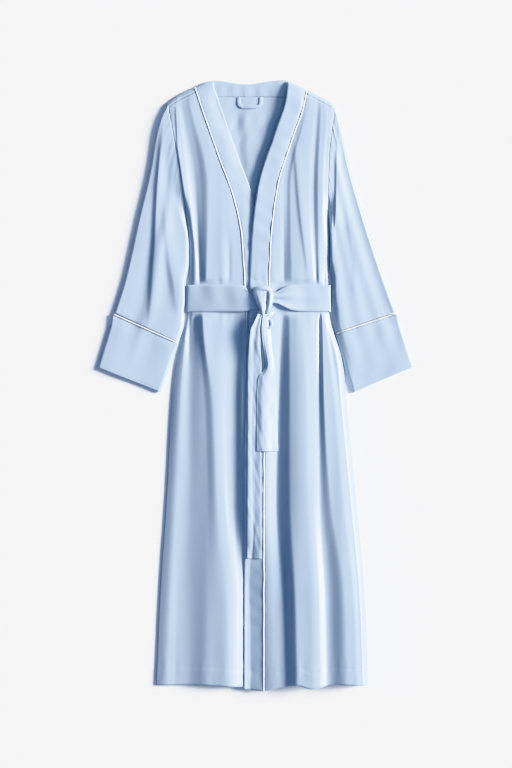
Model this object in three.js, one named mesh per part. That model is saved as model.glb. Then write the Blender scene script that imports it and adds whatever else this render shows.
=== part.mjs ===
// A long satin dressing gown of kimono cut, laid out flat on its back with its belt tied in front.
// Millimetres. Left and right are the wearer's, so the left front is at +X. +Y runs up to the neck
// and +Z up from the floor. The left front lies over the right one.
import * as THREE from "three";

// Cloth and seams
const WALL = 1.2;
const DOUBLED_WALL = 1.8;
const BELT_WALL = 1.6;
const SEAM_GAP = 0.35;
const PIPING_RADIUS = 1.6;
const SEAM_HALF = PIPING_RADIUS + SEAM_GAP;

// Lengths and widths of the whole garment
const WAIST_Y = 184;
const BELT_WIDTH = 57;
const BAND_WIDTH = 40;
const NECK_SEAM_Y = 613;
const CUFF_DEPTH = 112;
const ARMHOLE_TOP_Y = 598;

// Heights above the floor of the upper face of a layer
const BACK_TOP = WALL;
const SIDE_TOP = BACK_TOP + SEAM_GAP + WALL;
const ARMHOLE_TOP = 8.5;
const BELT_LIFT = BELT_WALL + SEAM_GAP;
const OVERLAP_LIFT = 4;
const WAIST_CROWN = 6;
const WAIST_CENTRE_X = 6;
const WAIST_HALF = 152;
const UNDERARM_Y = 350;

// Widths of the rolls at the folded edges
const SIDE_ROLL = 14;
const SHOULDER_ROLL = 8;
const TUBE_EDGE_RADIUS = 2.6;

const mix = (a, b, t) => a + (b - a) * t;
const clamp01 = (t) => Math.min(1, Math.max(0, t));
const smooth = (a, b, x) => {
  const t = clamp01((x - a) / (b - a));
  return t * t * (3 - 2 * t);
};

// A curve through knots that never overshoots: it is level at each crest and each valley.
function through(xs, ys, x) {
  const last = xs.length - 1;
  if (x <= xs[0]) return ys[0];
  if (x >= xs[last]) return ys[last];
  const rise = (k) => (ys[k + 1] - ys[k]) / (xs[k + 1] - xs[k]);
  const slope = (k) => {
    if (k === 0) return rise(0);
    if (k === last) return rise(last - 1);
    const before = rise(k - 1);
    const after = rise(k);
    return before * after <= 0 ? 0 : (2 * before * after) / (before + after);
  };
  let k = 0;
  while (x > xs[k + 1]) k++;
  const span = xs[k + 1] - xs[k];
  const t = (x - xs[k]) / span;
  const t2 = t * t;
  const t3 = t2 * t;
  const leaving = slope(k) * span * (t3 - 2 * t2 + t);
  const arriving = slope(k + 1) * span * (t3 - t2);
  return ys[k] * (2 * t3 - 3 * t2 + 1) + leaving + ys[k + 1] * (3 * t2 - 2 * t3) + arriving;
}

// A line through rows of [along, across], in rising order of the first.
const lineOf = (rows) => {
  const along = rows.map((row) => row[0]);
  const across = rows.map((row) => row[1]);
  return (at) => through(along, across, at);
};

// Outline: x of each line for y, from hem to shoulder.
const sideRight = lineOf([
  [-641, -212], [-457, -204], [-244, -190], [-31, -178], [88, -163], [150, -144],
  [184, -141], [288, -141], [342, -145], [389, -151], [491, -166], [598, -186],
]);
const sideLeft = lineOf([
  [-641, 240], [-457, 233], [-244, 214], [-31, 193], [30, 188], [70, 181],
  [108, 169], [150, 157], [184, 154], [300, 158], [378, 154], [470, 155], [598, 170],
]);
const seamRight = lineOf([[-650, 6], [-300, 0], [-31, -12], [154, -20], [321, -30], [399, -47], [487, -79], [634, -130]]);
const seamLeft = lineOf([[-650, 17], [-159, 18], [154, 27], [301, 32], [418, 46], [543, 85], [603, 105], [640, 110]]);
// Outline: y of each line for x, from right to left.
const shoulderEdge = lineOf([
  [-190, 598], [-164, 617], [-130, 634], [-104, 646], [-88, 649], [-21, 641],
  [60, 650], [75, 645], [109, 629], [140, 614], [176, 598],
]);
const hemRight = lineOf([[-214, -639], [-120, -637], [-20, -641], [50, -641]]);
const hemLeft = lineOf([[-24, -646], [14, -650], [40, -645], [90, -636], [116, -643], [170, -634], [241, -637]]);
const neckSeam = (x) => {
  const rise = Math.max(smooth(-104, -132, x), smooth(80, 108, x));
  return mix(NECK_SEAM_Y, shoulderEdge(x) - SHOULDER_ROLL / 2, rise);
};

// Folds: each row is one crest or valley, at the levels named. The first table of a front gives
// where it lies across the front, and the second how high the cloth's upper face is there.
const LEVELS = { hem: -645, calf: -457, knee: -244, thigh: -31, beltFoot: 150, beltHead: 218, bust: 416, shoulder: 598 };
const LEVEL_Y = Object.values(LEVELS);
const foldsOf = (positions, heights) =>
  Object.keys(positions).map((name) => ({
    x: (y) => through(LEVEL_Y, positions[name], y),
    z: (y) => through(LEVEL_Y, heights[name], y),
  }));

const rightFolds = foldsOf(
  {
    // fold          hem   calf  knee  thigh foot  head  bust  shoulder
    sideRidge: [-183, -180, -174, -160, -136, -132, -143, -172],
    sideValley: [-152, -146, -138, -131, -124, -119, -127, -160],
    frontRidge: [-71, -80, -100, -103, -109, -106, -103, -146],
    frontHollow: [-57, -60, -66, -64, -60, -58, -74, -135],
    frontFoot: [-35, -40, -45, -45, -38, -34, -60, -124],
    bandEdge: [48, 42, 32, 28, 20, 14, -8, -84],
  },
  {
    sideRidge: [11, 14, 14, 12, 9, 9, 10, 9],
    sideValley: [5, 4.5, 4, 4, 4.5, 4.6, 7, 8],
    frontRidge: [14, 16, 17, 16, 13, 12, 13, 10],
    frontHollow: [11, 12, 11, 10, 9, 8, 10, 9],
    frontFoot: [5, 5.5, 6, 7, 8, 9, 10, 9],
    bandEdge: [4.4, 4.4, 4.6, 5, 6, 7, 8, 9],
  },
);
const leftFolds = foldsOf(
  {
    // fold          hem   calf  knee  thigh foot  head  bust  shoulder
    bandEdge: [-24, -22, -21, -20, -16, -10, 4, 64],
    bandRidge: [27, 28, 29, 33, 38, 44, 56, 108],
    deepValley: [86, 76, 62, 65, 67, 66, 72, 116],
    tallRidge: [98, 96, 92, 94, 93, 80, 86, 124],
    midPleat: [130, 120, 115, 112, 112, 101, 106, 136],
    midRidge: [160, 146, 134, 124, 122, 113, 118, 146],
    sideValley: [188, 172, 152, 136, 133, 131, 129, 155],
    sideRidge: [208, 193, 174, 154, 143, 143, 142, 162],
  },
  {
    bandEdge: [9, 11, 12, 13, 13.5, 14, 15, 11],
    bandRidge: [11, 13, 14, 14, 14, 14, 14, 10],
    deepValley: [3.4, 3.4, 3.5, 4, 6, 8, 10, 9.5],
    tallRidge: [19, 21, 20, 17, 15, 13, 14, 10.5],
    midPleat: [15, 16, 15, 13, 10, 7.5, 10, 9.5],
    midRidge: [10, 11, 10, 9, 9, 12, 13, 10],
    sideValley: [5, 5.5, 5, 5, 5, 4.6, 7, 9],
    sideRidge: [12, 14, 14, 13, 9, 10, 11, 9.5],
  },
);

const RIGHT = { folds: rightFolds, side: sideRight, seam: seamRight, hem: hemRight, hand: -1 };
const LEFT = { folds: leftFolds, side: sideLeft, seam: seamLeft, hem: hemLeft, hand: 1 };
const bandEdgeX = (front, y) => front.seam(y) - front.hand * (SEAM_HALF + BAND_WIDTH);

// The back steps up over the belt behind the waist, and every layer above it does so too.
const BELT_HALF = BELT_WIDTH / 2;
const fromWaist = (y) => Math.abs(y - WAIST_Y);
const BELT_EASE = 3;
const BACK_STEP = 10;
const GATHER_LENGTH = 36;
const ARMHOLE_RISE = 70;
const backLift = (y) => BELT_LIFT * (1 - clamp01((fromWaist(y) - BELT_HALF - BELT_EASE) / BACK_STEP));
const beltPress = (y) => 1 - smooth(BELT_HALF + BELT_EASE, BELT_HALF + GATHER_LENGTH, fromWaist(y));
const sideTop = (y) => mix(SIDE_TOP + backLift(y), ARMHOLE_TOP, smooth(UNDERARM_Y, UNDERARM_Y + ARMHOLE_RISE, y));
const waistDome = (x) => {
  const fromCentre = Math.min(1, Math.abs((x - WAIST_CENTRE_X) / WAIST_HALF));
  return SIDE_TOP + BELT_LIFT + WAIST_CROWN * Math.sqrt(1 - fromCentre ** 3);
};

// Height of a front's upper face. The folds are pressed into a low dome under the belt, turned down
// to the back along the side and the shoulder, and kept clear of the right front where they cross it.
const CROSSING_EASE = 30;
const YOKE_LENGTH = 60;
const YOKE_FLATNESS = 0.7;
function frontHeight(front, x, y) {
  const folds = through(front.folds.map((f) => f.x(y)), front.folds.map((f) => f.z(y)), x);
  let height = mix(folds, waistDome(x), beltPress(y));
  if (front === LEFT) {
    const rightEdge = bandEdgeX(RIGHT, y);
    const crossing = 1 - smooth(rightEdge, rightEdge + CROSSING_EASE, x);
    const clear = frontHeight(RIGHT, x, y) + OVERLAP_LIFT;
    height = Math.max(height, mix(height, clear, crossing));
  }
  const fromSide = (front.side(y) - x) * front.hand;
  height = mix(sideTop(y), height, Math.sin((Math.PI / 2) * clamp01(fromSide / SIDE_ROLL)));
  const fromShoulder = shoulderEdge(x) - y;
  height = mix(height, ARMHOLE_TOP, YOKE_FLATNESS * (1 - smooth(0, YOKE_LENGTH, fromShoulder)));
  return mix(SIDE_TOP, height, Math.sqrt(1 - (1 - clamp01(fromShoulder / SHOULDER_ROLL)) ** 2));
}

// Geometry from points and faces
function solid(points, faces) {
  const geometry = new THREE.BufferGeometry();
  geometry.setAttribute("position", new THREE.Float32BufferAttribute(points.flatMap((p) => p.toArray()), 3));
  geometry.setIndex(faces);
  geometry.computeVertexNormals();
  return geometry;
}

// A wall of cloth from rows of points on its outer face. Each row runs across the piece and the rows
// run along it, with the outside to the left of that turn. The inner face is moved in along normals.
function clothWall(rows, wall, { tube = false, ring = false } = {}) {
  const across = rows[0].length;
  const along = rows.length;
  const wrap = (i) => (tube ? (i + across) % across : Math.min(across - 1, Math.max(0, i)));
  const turn = (j) => (ring ? (j + along) % along : Math.min(along - 1, Math.max(0, j)));
  const outer = rows.flat();
  const inner = outer.map((point, n) => {
    const i = n % across;
    const j = Math.floor(n / across);
    const over = rows[j][wrap(i + 1)].clone().sub(rows[j][wrap(i - 1)]);
    const up = rows[turn(j + 1)][i].clone().sub(rows[turn(j - 1)][i]);
    return point.clone().addScaledVector(over.cross(up).normalize(), -wall);
  });
  const count = outer.length;
  const faces = [];
  const quad = (a, b, c, d) => faces.push(a, b, c, a, c, d);
  const spansAcross = tube ? across : across - 1;
  const spansAlong = ring ? along : along - 1;
  for (let j = 0; j < spansAlong; j++)
    for (let i = 0; i < spansAcross; i++) {
      const a = j * across + i;
      const b = j * across + wrap(i + 1);
      const c = turn(j + 1) * across + wrap(i + 1);
      const d = turn(j + 1) * across + i;
      quad(a, b, c, d);
      quad(count + a, count + d, count + c, count + b);
    }
  if (!ring)
    for (let i = 0; i < spansAcross; i++) {
      const next = wrap(i + 1);
      const top = (along - 1) * across;
      quad(next, i, count + i, count + next);
      quad(top + i, top + next, count + top + next, count + top + i);
    }
  if (!tube)
    for (let j = 0; j < spansAlong; j++) {
      const a = j * across;
      const b = turn(j + 1) * across;
      const end = across - 1;
      quad(a, b, count + b, count + a);
      quad(b + end, a + end, count + a + end, count + b + end);
    }
  return solid([...outer, ...inner], faces);
}

// A round cord along points, as a ring or with flat ends.
function cord(points, radius, { ring = false, sides = 6 } = {}) {
  const count = points.length;
  const at = (k) => points[ring ? (k + count) % count : Math.min(count - 1, Math.max(0, k))];
  const skin = [];
  for (let k = 0; k < count; k++) {
    const along = at(k + 1).clone().sub(at(k - 1)).normalize();
    const across = new THREE.Vector3(0, 0, 1).cross(along);
    if (across.length() < 0.2) across.set(along.z, 0, 0);
    across.normalize();
    const up = along.clone().cross(across);
    for (let s = 0; s < sides; s++) {
      const angle = (2 * Math.PI * (s + 0.5)) / sides;
      const out = across.clone().multiplyScalar(Math.cos(angle)).addScaledVector(up, Math.sin(angle));
      skin.push(points[k].clone().addScaledVector(out, radius));
    }
  }
  const faces = [];
  for (let k = 0; k < (ring ? count : count - 1); k++)
    for (let s = 0; s < sides; s++) {
      const a = k * sides + s;
      const b = k * sides + ((s + 1) % sides);
      const c = ((k + 1) % count) * sides + ((s + 1) % sides);
      const d = ((k + 1) % count) * sides + s;
      faces.push(a, b, c, a, c, d);
    }
  if (!ring)
    for (let s = 1; s < sides - 1; s++) {
      const end = (count - 1) * sides;
      faces.push(0, s + 1, s, end, end + s, end + s + 1);
    }
  return solid(skin, faces);
}

// Fractions from 0 to 1 for a number of equal steps, without the last.
const shares = (count) => Array.from({ length: count }, (_, k) => k / count);
const range = (from, to, count) => Array.from({ length: count + 1 }, (_, k) => mix(from, to, k / count));

const gown = new THREE.Group();
const satin = () => new THREE.MeshStandardMaterial({ color: 0xb9cfe8, roughness: 0.42, metalness: 0 });
const cordSatin = () => new THREE.MeshStandardMaterial({ color: 0xf1f3f6, roughness: 0.4, metalness: 0 });
function add(name, geometry, material) {
  const mesh = new THREE.Mesh(geometry, material);
  mesh.name = name;
  gown.add(mesh);
}

// Rows of the body, as levels that close up to the hem and open out to the shoulder's edge
const HEM_ZONE_Y = -560;
const SHOULDER_ZONE_Y = 540;
const NOMINAL_HEM_Y = -650;
const NOMINAL_TOP_Y = 650;
const BELT_ROWS = [-66, -46, -33, -30, 0, 30, 33, 46, 66].map((step) => WAIST_Y + step);
const SHOULDER_ROWS = [65, 30, 12, 6, 2, 0].map((step) => NOMINAL_TOP_Y - step);
const BODY_ROWS = [
  ...range(NOMINAL_HEM_Y, 60, 15), ...BELT_ROWS, ...range(290, SHOULDER_ZONE_Y, 5), ...SHOULDER_ROWS,
];
function levelled(level, hem, top) {
  const towardsHem = (HEM_ZONE_Y - level) / (HEM_ZONE_Y - NOMINAL_HEM_Y);
  const towardsTop = (level - SHOULDER_ZONE_Y) / (NOMINAL_TOP_Y - SHOULDER_ZONE_Y);
  if (towardsHem > 0) return mix(HEM_ZONE_Y, hem, towardsHem);
  return towardsTop > 0 ? mix(SHOULDER_ZONE_Y, top, towardsTop) : level;
}
// A point of a panel at a level: x depends on y at the sides, and y on x at the hem and shoulder.
function panelPoint(level, xAt, hemAt, topAt, zAt) {
  let y = level;
  let x = xAt(y);
  for (let pass = 0; pass < 6; pass++) {
    y = levelled(level, hemAt(x), topAt(x));
    x = xAt(y);
  }
  return new THREE.Vector3(x, y, zAt(x, y));
}

// Back: one panel on the floor, from the hem up to the neck seam and the shoulders.
const BACK_COLUMNS = 12;
const BACK_EDGE = 1;
const BACK_HEM_Y = -636;
const backRows = BODY_ROWS.filter((level) => level <= SHOULDER_ZONE_Y || level === NOMINAL_TOP_Y).map((level) =>
  range(0, 1, BACK_COLUMNS).map((u) =>
    panelPoint(
      level,
      (y) => mix(sideRight(y) + BACK_EDGE, sideLeft(y) - BACK_EDGE, u),
      () => BACK_HEM_Y,
      (x) => Math.min(neckSeam(x), shoulderEdge(x) - SHOULDER_ROLL / 2),
      (x, y) => BACK_TOP + backLift(y),
    ),
  ),
);
add("back", clothWall(backRows, WALL), satin());

// Fronts: columns stand on the folds, with a few between, and three on the roll along the side.
const STEPS_PER_FOLD = 2;
const COLUMN_MARGIN = 1.5;
const ROLL_STOPS = [0, 0.4, 0.75, 1];
function frontColumns(front, y) {
  const seamEdge = front.seam(y) + front.hand * SEAM_HALF;
  const rollStart = front.side(y) - front.hand * SIDE_ROLL;
  const inOrder = front.hand > 0 ? [seamEdge, rollStart] : [rollStart, seamEdge];
  const crests = front.folds.map((f) => f.x(y));
  const inner = front.hand > 0 ? crests.slice(1) : crests.slice(0, -1);
  let low = inOrder[0];
  const knots = inner.map((x, k) => {
    low = Math.min(Math.max(x, low + COLUMN_MARGIN), inOrder[1] - COLUMN_MARGIN * (inner.length - k));
    return low;
  });
  const stops = [inOrder[0], ...knots, inOrder[1]];
  const columns = [];
  for (let k = 0; k < stops.length - 1; k++)
    for (const t of shares(STEPS_PER_FOLD)) columns.push(mix(stops[k], stops[k + 1], t));
  const roll = ROLL_STOPS.map((t) => mix(rollStart, front.side(y), t));
  return front.hand > 0 ? [...columns, ...roll] : [...roll.reverse(), ...columns.slice(1), seamEdge];
}
function frontRows(front, xAt, count) {
  const shoulder = (x) => shoulderEdge(x) - SEAM_GAP;
  const height = (x, y) => frontHeight(front, x, y);
  const columns = Array.from({ length: count }, (_, i) => i);
  return BODY_ROWS.map((level) => columns.map((i) => panelPoint(level, (y) => xAt(i, y), front.hem, shoulder, height)));
}
for (const [name, front] of [["left", LEFT], ["right", RIGHT]]) {
  const count = frontColumns(front, 0).length;
  add(`front_${name}`, clothWall(frontRows(front, (i, y) => frontColumns(front, y)[i], count), WALL), satin());
}

// Front bands: a doubled strip beside each piped seam, on the same surface as its front.
const BAND_COLUMNS = 4;
for (const [name, front] of [["left", LEFT], ["right", RIGHT]]) {
  const bandX = (i, y) => {
    const t = i / (BAND_COLUMNS - 1);
    const seamSide = front.seam(y) - front.hand * SEAM_HALF;
    return front.hand > 0 ? mix(bandEdgeX(front, y), seamSide, t) : mix(seamSide, bandEdgeX(front, y), t);
  };
  add(`band_${name}`, clothWall(frontRows(front, bandX, BAND_COLUMNS), DOUBLED_WALL), satin());
}

// Piping in each front seam, from the hem to just short of the shoulder's fold
const PIPING_SINK = 0.9;
const PIPING_END = 5;
for (const [name, front] of [["left", LEFT], ["right", RIGHT]]) {
  const end = (x) => shoulderEdge(x) - PIPING_END;
  const centre = (x, y) => frontHeight(front, x, y) - PIPING_SINK;
  const line = BODY_ROWS.map((level) => panelPoint(level, front.seam, front.hem, end, centre));
  add(`piping_front_${name}`, cord(line, PIPING_RADIUS), cordSatin());
}

// Neck band: the doubled strip behind the neck, flat on the floor above the neck seam.
const NECK_BAND_SPAN = { right: -96, left: 74 };
const neckRows = range(0, 1, 2).map((v) =>
  range(0, 1, 8).map((u) => {
    const x = mix(NECK_BAND_SPAN.right, NECK_BAND_SPAN.left, u);
    return new THREE.Vector3(x, mix(NECK_SEAM_Y + SEAM_GAP, shoulderEdge(x) - SEAM_GAP, v), DOUBLED_WALL);
  }),
);
add("band_neck", clothWall(neckRows, DOUBLED_WALL), satin());

// Sleeves and cuffs: flattened tubes. Outlines from the shoulder's tip to the cuff seam, then to the
// cuff's edge, as x of the outer fold for y, and corners of the cuff.
const TUBE_TOP_STEPS = 14;
const TUBE_FLOOR_STEPS = 4;
const TUBE_FLOOR_INSET = 0.035;
const TUBE_EDGE_CROWDING = 0.55;
const TUBE_SIDE_TOP = 7;
const SLEEVES = {
  right: {
    front: RIGHT,
    outer: lineOf([[151, -304], [228, -280], [362, -250], [462, -227], [526, -216], [569, -203.5], [598, -189]]),
    seam: { outerY: 151, innerY: 88 },
    cuffEdge: { outer: [-338, 38], inner: [-201.5, -16] },
    folds: {
      // fold       where it lies from the outer fold to the inner, then heights at armhole, elbow, cuff seam
      outerSlope: [0.16, 7.5, 7, 6.5],
      valley: [0.3, 7.5, 5.6, 6],
      ridge: [0.44, 9, 11, 9],
      hollow: [0.62, 8.5, 7, 7],
      innerRidge: [0.76, 8.5, 11, 8.5],
    },
  },
  left: {
    front: LEFT,
    outer: lineOf([[153, 301.5], [228, 274], [362, 231], [484, 199], [526, 191], [569, 180], [598, 174]]),
    seam: { outerY: 153, innerY: 109 },
    cuffEdge: { outer: [338, 40], inner: [206.5, -17] },
    folds: {
      outerSlope: [0.2, 8, 7.5, 7.5],
      valley: [0.4, 8.5, 8, 8],
      ridge: [0.55, 9, 10, 9],
      hollow: [0.68, 8.5, 7, 8],
      innerRidge: [0.84, 9, 11, 9.5],
    },
  },
};
const SLEEVE_CLEAR = 0.6;
const BELT_CLEAR = 8;
const TUBE_ROLL = 0.07;

// Points round a tube at one station: over the top from the inner fold to the outer, then back
// along the floor. The plan gives x and y for a share of the way from the outer fold to the inner.
function tubeRing(plan, heightAt, hand) {
  const point = (u, top) => {
    const fromEdge = Math.min(u, 1 - u) / TUBE_ROLL;
    const roll = Math.sin((Math.PI / 2) * clamp01(fromEdge));
    const z = top ? mix(TUBE_EDGE_RADIUS, heightAt(u), roll) : TUBE_EDGE_RADIUS * (1 - roll);
    const [x, y] = plan(u);
    return new THREE.Vector3(x, y, z);
  };
  const crowded = (t) => t - (TUBE_EDGE_CROWDING * Math.sin(2 * Math.PI * t)) / (2 * Math.PI);
  const top = range(0, 1, TUBE_TOP_STEPS).map((t) => point(1 - crowded(t), true));
  const floor = range(TUBE_FLOOR_INSET, 1 - TUBE_FLOOR_INSET, TUBE_FLOOR_STEPS).map((t) => point(t, false));
  const ring = [...top, ...floor];
  return hand > 0 ? ring.reverse() : ring;
}

const SLEEVE_RINGS = 12;
const SLEEVE_LENGTH = 230;
const CUFF_RINGS = 5;
const CUFF_EDGE_TOP = 6.5;
const CUFF_WAVE = 0.8;
const PIPING_INSET = 0.012;
for (const [name, sleeve] of Object.entries(SLEEVES)) {
  const { front, outer, seam, cuffEdge, folds } = sleeve;
  const hand = front.hand;
  const rows = Object.values(folds);
  const besideBelt = (y) => 1 - smooth(BELT_HALF, BELT_HALF + GATHER_LENGTH, fromWaist(y));
  const bodyLine = (y) => front.side(y) + hand * mix(SLEEVE_CLEAR, BELT_CLEAR, besideBelt(y));
  const armholeBow = (u) => {
    const straight = mix(outer(ARMHOLE_TOP_Y), bodyLine(UNDERARM_Y), u);
    return bodyLine(mix(ARMHOLE_TOP_Y, UNDERARM_Y, u)) - straight;
  };
  const sleevePlan = (v, u) => {
    const outerY = mix(ARMHOLE_TOP_Y, seam.outerY, v);
    const innerY = mix(UNDERARM_Y, seam.innerY, v);
    const x = mix(outer(outerY), bodyLine(innerY), u) + armholeBow(u) * (1 - v) ** 2;
    const y = mix(outerY, innerY, u);
    return [hand * Math.max(hand * x, hand * bodyLine(y)), y];
  };
  const sleeveHeight = (v, u) =>
    through(
      [0, ...rows.map((row) => row[0]), 1],
      [TUBE_SIDE_TOP, ...rows.map((row) => through([0, 0.5, 1], row.slice(1), v)), TUBE_SIDE_TOP],
      u,
    );
  const cuffPlan = (w, u) => {
    const [startOuter, startInner] = [sleevePlan(1, 0), sleevePlan(1, 1)];
    const start = [mix(startOuter[0], startInner[0], u), mix(startOuter[1], startInner[1], u)];
    const end = [mix(cuffEdge.outer[0], cuffEdge.inner[0], u), mix(cuffEdge.outer[1], cuffEdge.inner[1], u)];
    return [mix(start[0], end[0], w), mix(start[1], end[1], w)];
  };
  const edgeHeight = (u) => CUFF_EDGE_TOP + CUFF_WAVE * Math.sin(2 * Math.PI * u);
  const cuffHeight = (w, u) => mix(sleeveHeight(1, u), edgeHeight(u), smooth(0, 1, w));
  const sleeveEnd = SEAM_HALF / SLEEVE_LENGTH;
  const cuffStart = SEAM_HALF / CUFF_DEPTH;

  const sleeveRings = range(0, 1 - sleeveEnd, SLEEVE_RINGS - 1).map((v) =>
    tubeRing((u) => sleevePlan(v, u), (u) => sleeveHeight(v, u), hand),
  );
  add(`sleeve_${name}`, clothWall(sleeveRings, WALL, { tube: true }), satin());

  const cuffRings = range(cuffStart, 1, CUFF_RINGS - 1).map((w) =>
    tubeRing((u) => cuffPlan(w, u), (u) => cuffHeight(w, u), hand),
  );
  add(`cuff_${name}`, clothWall(cuffRings, WALL, { tube: true }), satin());

  const seamPlan = (u) => cuffPlan(0, mix(PIPING_INSET, 1 - PIPING_INSET, u));
  const pipingRing = tubeRing(seamPlan, (u) => sleeveHeight(1, u), hand);
  for (const p of pipingRing) p.z = Math.max(PIPING_RADIUS + SEAM_GAP, p.z - PIPING_SINK);
  add(`piping_cuff_${name}`, cord(pipingRing, PIPING_RADIUS, { ring: true }), cordSatin());
}

// Hanger loop: a narrow strip that hangs from the neck seam, flat on the back.
const LOOP = { rightX: -36, leftX: 10, drop: 24, width: 6, gap: 0.5 };
const loopRows = [
  [LOOP.rightX, NECK_SEAM_Y - LOOP.gap, 0], [LOOP.rightX + 1, NECK_SEAM_Y - LOOP.drop * 0.6, 0.25],
  [LOOP.rightX + 8, NECK_SEAM_Y - LOOP.drop, 0.75], [LOOP.leftX - 8, NECK_SEAM_Y - LOOP.drop, 1.25],
  [LOOP.leftX - 1, NECK_SEAM_Y - LOOP.drop * 0.6, 1.75], [LOOP.leftX, NECK_SEAM_Y - LOOP.gap, 2],
].map(([x, y, turn]) => {
  const angle = (turn * Math.PI) / 2;
  const inward = new THREE.Vector3(Math.cos(angle), Math.sin(angle), 0).multiplyScalar(LOOP.width / 2);
  const centre = new THREE.Vector3(x, y, BACK_TOP + SEAM_GAP + WALL);
  return [centre.clone().add(inward), centre.clone().sub(inward)];
});
add("hanger_loop", clothWall(loopRows, WALL), satin());

// Belt round the waist: a closed band over the fronts and under the back.
const BELT_MARGIN = 1.1;
const BELT_SPAN = { right: -142.5, left: 155.5, bulge: 4.5 };
const OVERLAP_RAMP = { start: -60, full: -26, falling: 60, end: 110 };
const TURN_STOPS = [0.2, 0.4, 0.6, 0.8];
const beltTop = (x) => {
  const { start, full, falling, end } = OVERLAP_RAMP;
  const overLeftFront = OVERLAP_LIFT * smooth(start, full, x) * (1 - smooth(falling, end, x));
  return waistDome(x) + overLeftFront + BELT_MARGIN + BELT_WALL;
};
const beltLoop = [];
for (const x of range(BELT_SPAN.right, BELT_SPAN.left, 22)) beltLoop.push([x, beltTop(x)]);
for (const [end, way] of [[BELT_SPAN.left, 1], [BELT_SPAN.right, -1]]) {
  const top = beltTop(end);
  const turn = TURN_STOPS.map((t) => [
    end + way * BELT_SPAN.bulge * Math.sin(Math.PI * t),
    (top * (1 + Math.cos(Math.PI * t))) / 2,
  ]);
  if (way > 0) beltLoop.push(...turn, ...range(end, BELT_SPAN.right, 6).map((x) => [x, 0]));
  else beltLoop.push(...turn.reverse());
}
const beltRows = beltLoop.map(([x, z]) =>
  [1, 0, -1].map((side) => new THREE.Vector3(x, WAIST_Y + side * BELT_HALF, z)),
);
add("belt_waist", clothWall(beltRows, BELT_WALL, { ring: true }), satin());

// Belt ends: strips that hang from the knot over the left front, the short one over the long one.
const TAIL_TOP_Y = 145;
const TAIL_STEP = 36;
const SLOPE_ALLOWANCE = 1.35;
const tailHeight = (below, wall) => (x, y) => below(x, y) + SEAM_GAP + wall * SLOPE_ALLOWANCE;
const LONG_TAIL = { right: -17, left: 12, endY: -369, wall: 2 };
const SHORT_TAIL = { right: 2, left: 47, endY: -141, wall: BELT_WALL };
const leftFrontTop = (x, y) => frontHeight(LEFT, x, y);
const longTailTop = tailHeight(leftFrontTop, LONG_TAIL.wall);
const underShortTail = (x, y) => {
  const besideLong = smooth(LONG_TAIL.left + 1, LONG_TAIL.left + 12, x);
  return mix(longTailTop(x, y), leftFrontTop(x, y) + SEAM_GAP, besideLong);
};
const shortTailTop = tailHeight(underShortTail, SHORT_TAIL.wall);
for (const [name, tail, top] of [["long", LONG_TAIL, longTailTop], ["short", SHORT_TAIL, shortTailTop]]) {
  const rows = range(tail.endY, TAIL_TOP_Y, Math.round((TAIL_TOP_Y - tail.endY) / TAIL_STEP)).map((y) =>
    range(tail.right, tail.left, 5).map((x) => new THREE.Vector3(x, y, top(x, y))),
  );
  add(`belt_tail_${name}`, clothWall(rows, tail.wall), satin());
}

// Belt knot: the hidden turns share one rounded solid. Each row is a section across it, from its
// head to where the ends leave it.
const KNOT_SECTIONS = [
  // y, right, left, foot, top
  { y: 204, right: 0, left: 26, foot: 19, top: 24 },
  { y: 198, right: -6, left: 34, foot: 18, top: 29 },
  { y: 186, right: -8, left: 38, foot: 17.6, top: 33 },
  { y: 172, right: -5, left: 34, foot: 17.6, top: 34 },
  { y: 158, right: 2, left: 27, foot: 17.6, top: 32 },
  { y: 150, right: 4, left: 24, foot: 17.6, top: 28 },
  { y: 146, right: 8, left: 20, foot: 18, top: 24 },
];
const KNOT_SIDES = 12;
const knotPoints = KNOT_SECTIONS.flatMap(({ y, right, left, foot, top }) =>
  shares(KNOT_SIDES).map((t) => {
    const angle = 2 * Math.PI * t;
    const x = mix(right, left, 0.5 + 0.5 * Math.cos(angle));
    return new THREE.Vector3(x, y, mix(foot, top, 0.5 + 0.5 * Math.sin(angle)));
  }),
);
const knotFaces = [];
for (let k = 0; k < KNOT_SECTIONS.length - 1; k++)
  for (let s = 0; s < KNOT_SIDES; s++) {
    const a = k * KNOT_SIDES + s;
    const b = k * KNOT_SIDES + ((s + 1) % KNOT_SIDES);
    knotFaces.push(a, b, b + KNOT_SIDES, a, b + KNOT_SIDES, a + KNOT_SIDES);
  }
for (let s = 1; s < KNOT_SIDES - 1; s++) {
  const end = (KNOT_SECTIONS.length - 1) * KNOT_SIDES;
  knotFaces.push(0, s + 1, s, end, end + s, end + s + 1);
}
add("belt_knot", solid(knotPoints, knotFaces), satin());

export default gown;
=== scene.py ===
import math

import bpy
import numpy as np
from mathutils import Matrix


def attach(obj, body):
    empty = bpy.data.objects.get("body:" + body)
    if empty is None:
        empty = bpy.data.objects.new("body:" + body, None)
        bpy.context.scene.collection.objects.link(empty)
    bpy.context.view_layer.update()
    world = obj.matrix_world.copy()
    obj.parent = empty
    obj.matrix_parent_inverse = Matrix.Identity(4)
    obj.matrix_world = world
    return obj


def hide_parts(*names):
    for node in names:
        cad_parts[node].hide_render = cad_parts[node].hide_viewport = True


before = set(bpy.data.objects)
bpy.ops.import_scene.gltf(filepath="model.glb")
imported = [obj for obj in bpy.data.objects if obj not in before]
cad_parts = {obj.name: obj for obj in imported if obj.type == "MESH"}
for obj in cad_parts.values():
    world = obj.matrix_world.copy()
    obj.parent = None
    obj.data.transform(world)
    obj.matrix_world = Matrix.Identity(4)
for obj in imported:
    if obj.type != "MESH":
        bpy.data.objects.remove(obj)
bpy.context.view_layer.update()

# View and studio
# The gown lies on a plain white floor and the camera looks straight down at it, as a tall picture
# of 512 by 768 pixels. One soft warm light comes low from the wearer's left, and the side of the
# room that faces it is dim and blue.
MM = 0.001
MM_PER_PIXEL = 2.131
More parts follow.
